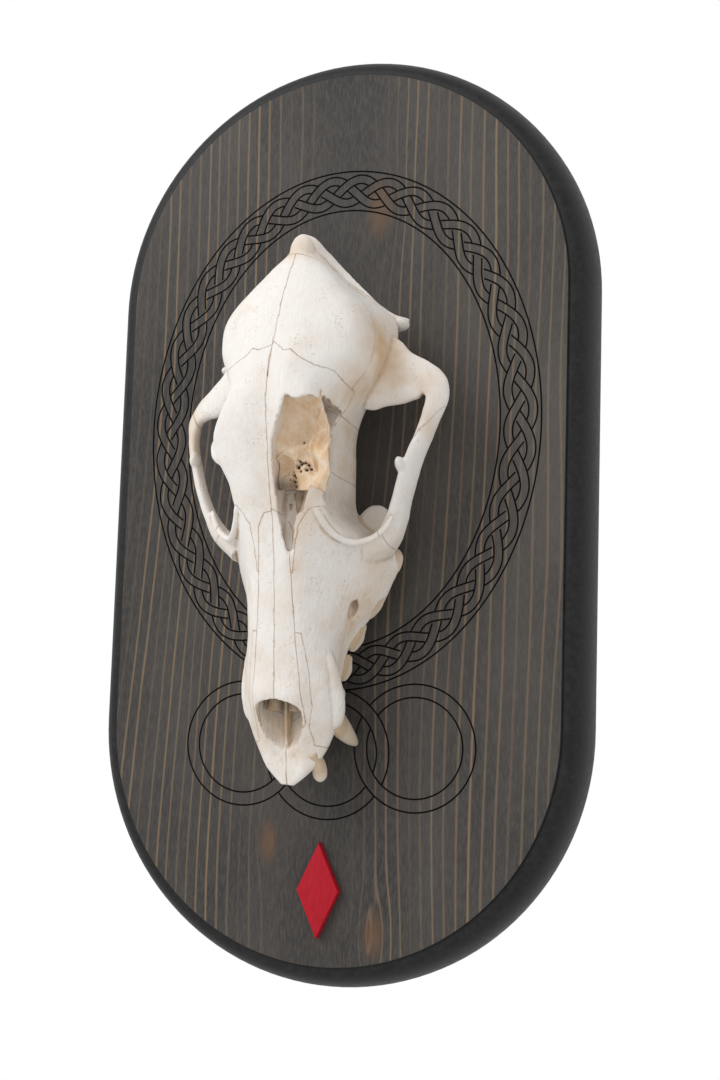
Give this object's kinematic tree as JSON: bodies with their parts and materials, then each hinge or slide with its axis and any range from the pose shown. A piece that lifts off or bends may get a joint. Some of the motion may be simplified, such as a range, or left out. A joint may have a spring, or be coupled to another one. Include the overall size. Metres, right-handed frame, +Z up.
{
  "type": "coyote skull mounted on an oval wall plaque",
  "caption": "Dry coyote cranium without its lower jaw, snout down on an oval dark-stained pine wall plaque with an engraved braided ring and a red lozenge.",
  "frame": {"origin": "middle of the plaque's flat back, on the wall", "axes": "+Y into the wall, +Z up along the plaque's length, +X to the right of a person who faces the plaque"},
  "size_m": [0.2, 0.0891, 0.368],
  "materials": {
    "bone": "dry weathered bone, matt to satin",
    "inner_bone": "dry bone, warmer and matt",
    "stained_wood": "dark grey stained pine, open grain, black edge",
    "red_paint": "matt red paint on thin wood",
    "dark_dowel": "dark stained dowel"
  },
  "bodies": {
    "root": {"nasal_left": "bone", "nasal_right": "bone", "premaxilla_left": "bone", "premaxilla_right": "bone", "maxilla_left": "bone", "maxilla_right": "bone", "frontal_left": "bone", "frontal_right": "bone", "parietal_left": "bone", "parietal_right": "bone", "temporal_left": "bone", "temporal_right": "bone", "jugal_left": "bone", "jugal_right": "bone", "occipital": "bone", "sphenoid": "inner_bone", "plaque": "stained_wood", "red_lozenge": "red_paint", "mounting_post_rear": "dark_dowel", "mounting_post_front": "dark_dowel"}
  },
  "joints": []
}
